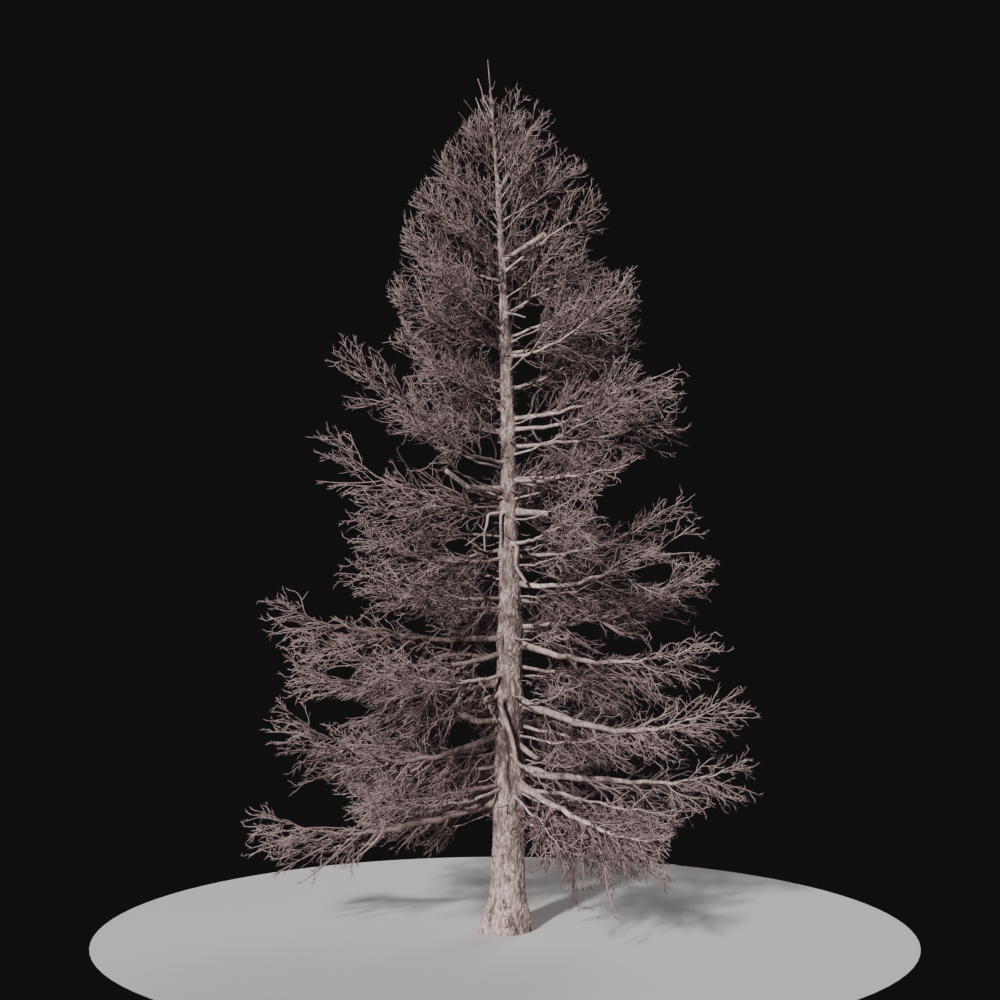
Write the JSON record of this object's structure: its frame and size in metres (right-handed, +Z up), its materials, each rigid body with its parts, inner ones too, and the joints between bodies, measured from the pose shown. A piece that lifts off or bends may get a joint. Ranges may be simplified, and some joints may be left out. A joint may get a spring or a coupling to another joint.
{
  "type": "dead conifer tree",
  "caption": "Bare dead conifer with a tapering trunk, root flare, sagging boughs turned up at the tips, broken stubs and masses of fine dry twigs.",
  "frame": {"origin": "middle of the flat cut under the trunk, at ground level", "axes": "+Z up the trunk, +X to the right as seen from the viewing side, +Y away from it"},
  "size_m": [7.2404, 5.9047, 12],
  "materials": {
    "trunk_bark": "dry weathered bark, fissured into long plates, matt",
    "bough_bark": "dry weathered bark of boughs and stubs, matt",
    "twig_bark": "dry grey-brown twigs, matt"
  },
  "bodies": {
    "root": {"bough_left_01": "bough_bark", "bough_left_02": "bough_bark", "bough_left_04": "bough_bark", "bough_left_09": "bough_bark", "bough_left_10": "bough_bark", "bough_right_01": "bough_bark", "bough_right_02": "bough_bark", "bough_right_03": "bough_bark", "bough_right_04": "bough_bark", "bough_right_06": "bough_bark", "stub_front": "bough_bark", "stub_left": "bough_bark", "stub_right": "bough_bark", "stub_right_low": "bough_bark", "stub_right_top": "bough_bark", "trunk": "trunk_bark", "twigs_back_01": "twig_bark", "twigs_back_02": "twig_bark", "twigs_back_03": "twig_bark", "twigs_back_04": "twig_bark", "twigs_back_05": "twig_bark", "twigs_back_06": "twig_bark", "twigs_front_01": "twig_bark", "twigs_front_02": "twig_bark", "twigs_front_03": "twig_bark", "twigs_front_04": "twig_bark", "twigs_front_05": "twig_bark", "twigs_front_06": "twig_bark", "twigs_left_01": "twig_bark", "twigs_left_02": "twig_bark", "twigs_left_03": "twig_bark", "twigs_left_04": "twig_bark", "twigs_left_05": "twig_bark", "twigs_left_06": "twig_bark", "twigs_left_07": "twig_bark", "twigs_left_08": "twig_bark", "twigs_left_09": "twig_bark", "twigs_left_10": "twig_bark", "twigs_left_11": "twig_bark", "twigs_left_12": "twig_bark", "twigs_left_13": "twig_bark", "twigs_left_14": "twig_bark", "twigs_left_15": "twig_bark", "twigs_left_16": "twig_bark", "twigs_right_01": "twig_bark", "twigs_right_02": "twig_bark", "twigs_right_03": "twig_bark", "twigs_right_04": "twig_bark", "twigs_right_05": "twig_bark", "twigs_right_06": "twig_bark", "twigs_right_07": "twig_bark", "twigs_right_08": "twig_bark", "twigs_right_09": "twig_bark", "twigs_right_10": "twig_bark", "twigs_right_11": "twig_bark", "twigs_right_12": "twig_bark", "twigs_right_13": "twig_bark", "twigs_right_14": "twig_bark", "twigs_right_15": "twig_bark", "twigs_right_16": "twig_bark"}
  },
  "joints": []
}
